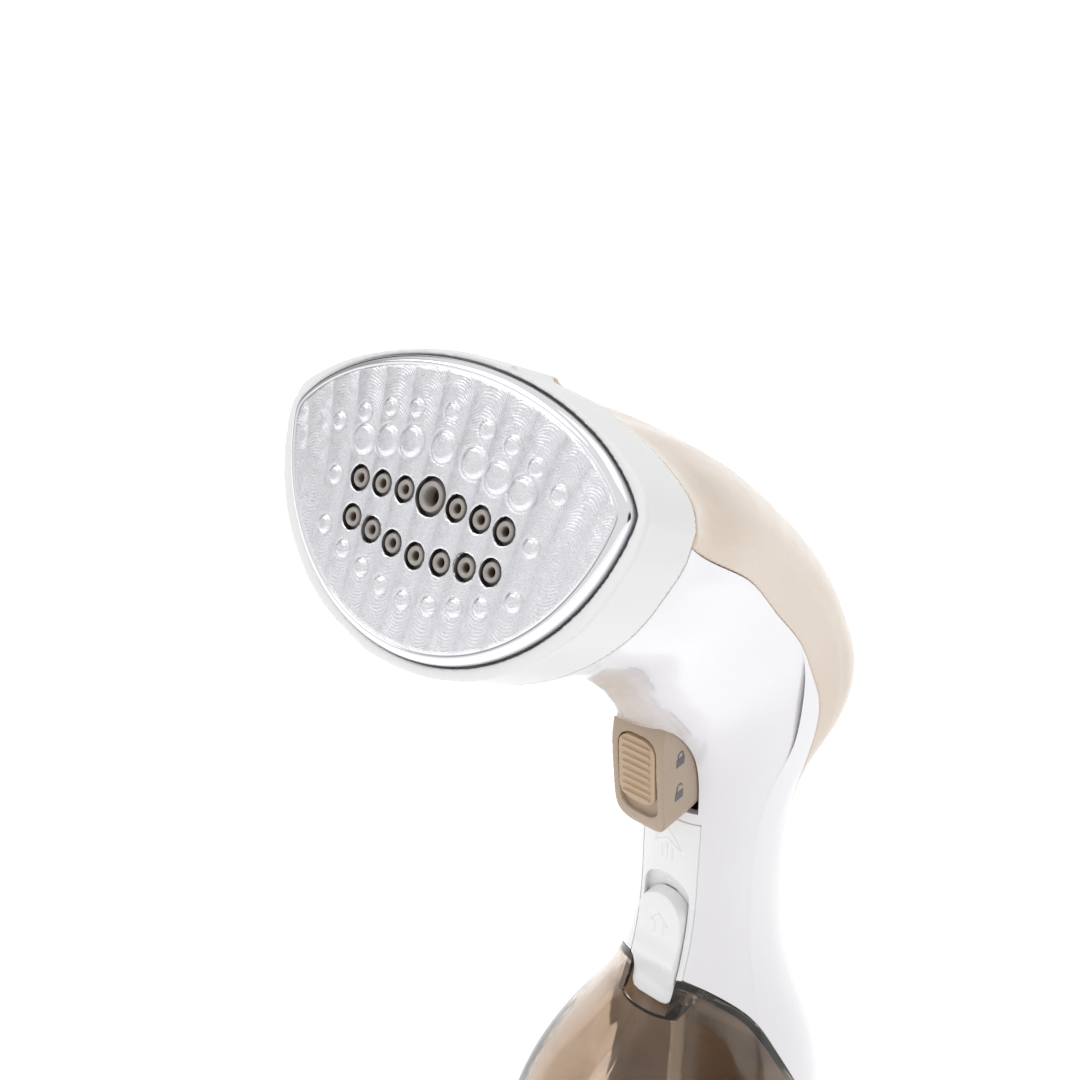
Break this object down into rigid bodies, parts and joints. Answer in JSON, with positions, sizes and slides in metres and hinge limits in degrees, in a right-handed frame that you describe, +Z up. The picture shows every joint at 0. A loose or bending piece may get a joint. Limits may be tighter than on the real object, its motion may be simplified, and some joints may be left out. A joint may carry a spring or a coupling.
{
  "type": "handheld garment steamer",
  "caption": "Handheld garment steamer: tilted aluminium steam plate, upright handle with lockable trigger, and lift-off water tank in the foot.",
  "frame": {"origin": "on the ground under the foot, on the plane of symmetry: the underside of the tank's rubber pad", "axes": "+Z up along the handle, -Y the way the steam plate faces, +X to the left of the user who holds it with the plate facing away"},
  "size_m": [0.0996, 0.196, 0.3353],
  "materials": {
    "plate_aluminium": "milled steam plate with swirl marks and a polished rim",
    "cast_aluminium": "as cast",
    "nozzle_taupe": "heat-proof moulded nozzles",
    "white_satin": "satin moulded",
    "white_gloss": "glossy moulded",
    "beige_gloss": "champagne gloss",
    "taupe_satin": "satin taupe",
    "tan_satin": "satin tan",
    "smoke_clear": "translucent smoky brown moulding, clear plastic",
    "grey_plastic": "internal moulding",
    "black_plastic": "internal moulding",
    "rubber_grey": "soft rubber",
    "silicone_clear": "silicone",
    "steel": "bright steel",
    "brass": "turned brass",
    "board_green": "glass-epoxy board and components"
  },
  "bodies": {
    "housing": {"steam_plate": "plate_aluminium", "small_nozzles": "nozzle_taupe", "centre_nozzle": "nozzle_taupe", "head_bezel": "white_satin", "chamber_gasket": "rubber_grey", "heating_element": "steel", "heater_block": "cast_aluminium", "block_screws": "steel", "inlet_nipple": "brass", "thermostat": "black_plastic", "thermal_fuse": "steel", "upper_cover": "beige_gloss", "lower_shell": "white_gloss", "base_cover": "grey_plastic", "rear_pad": "rubber_grey", "base_screws": "steel", "cord_gland": "grey_plastic", "front_panel": "white_satin", "latch_spring": "steel", "trigger_pin": "steel", "trigger_frame": "grey_plastic", "trigger_spring": "steel", "microswitch": "black_plastic", "dock_socket": "grey_plastic", "pump": "black_plastic", "feed_hose": "silicone_clear", "pump_hose": "silicone_clear", "control_board": "board_green"},
    "trigger": {"trigger": "taupe_satin"},
    "slider": {"lock_slider": "tan_satin"},
    "plunger": {"switch_plunger": "black_plastic"},
    "latch": {"tank_latch": "white_satin"},
    "tank": {"water_tank": "smoke_clear", "tank_pad": "rubber_grey", "tank_spigot": "grey_plastic", "suction_tube": "silicone_clear", "tube_filter": "grey_plastic"},
    "plug": {"filler_plug": "rubber_grey"}
  },
  "joints": [
    {"name": "trigger_press", "type": "hinge", "parent": "housing", "child": "trigger", "pos_m": [0, -0.01, 0.217], "axis": [1, 0, 0], "range_deg": [0, 6], "stiffness_Nm_per_rad": 0.35, "springref_deg": -20.05, "deforming": ["trigger_spring"]},
    {"name": "switch_press", "type": "slide", "parent": "housing", "child": "plunger", "axis": [0, 1, 0], "range_m": [0, 0.0024]},
    {"name": "trigger_lock", "type": "slide", "parent": "trigger", "child": "slider", "axis": [0, 0.0698, -0.9976], "range_m": [0, 0.005]},
    {"name": "latch_slide", "type": "slide", "parent": "housing", "child": "latch", "axis": [0, 0, 1], "range_m": [0, 0.0065], "stiffness_N_per_m": 300, "springref_m": -0.006, "deforming": ["latch_spring"]},
    {"name": "tank_release", "type": "slide", "parent": "housing", "child": "tank", "axis": [0, 0, -1], "range_m": [0, 0.14]},
    {"name": "filler_plug_pull", "type": "slide", "parent": "tank", "child": "plug", "axis": [0, -0.9135, 0.4067], "range_m": [0, 0.015]}
  ],
  "couplings": [
    {"joint": "switch_press", "follows": "trigger_press", "m_per_rad": 0.02136}
  ]
}
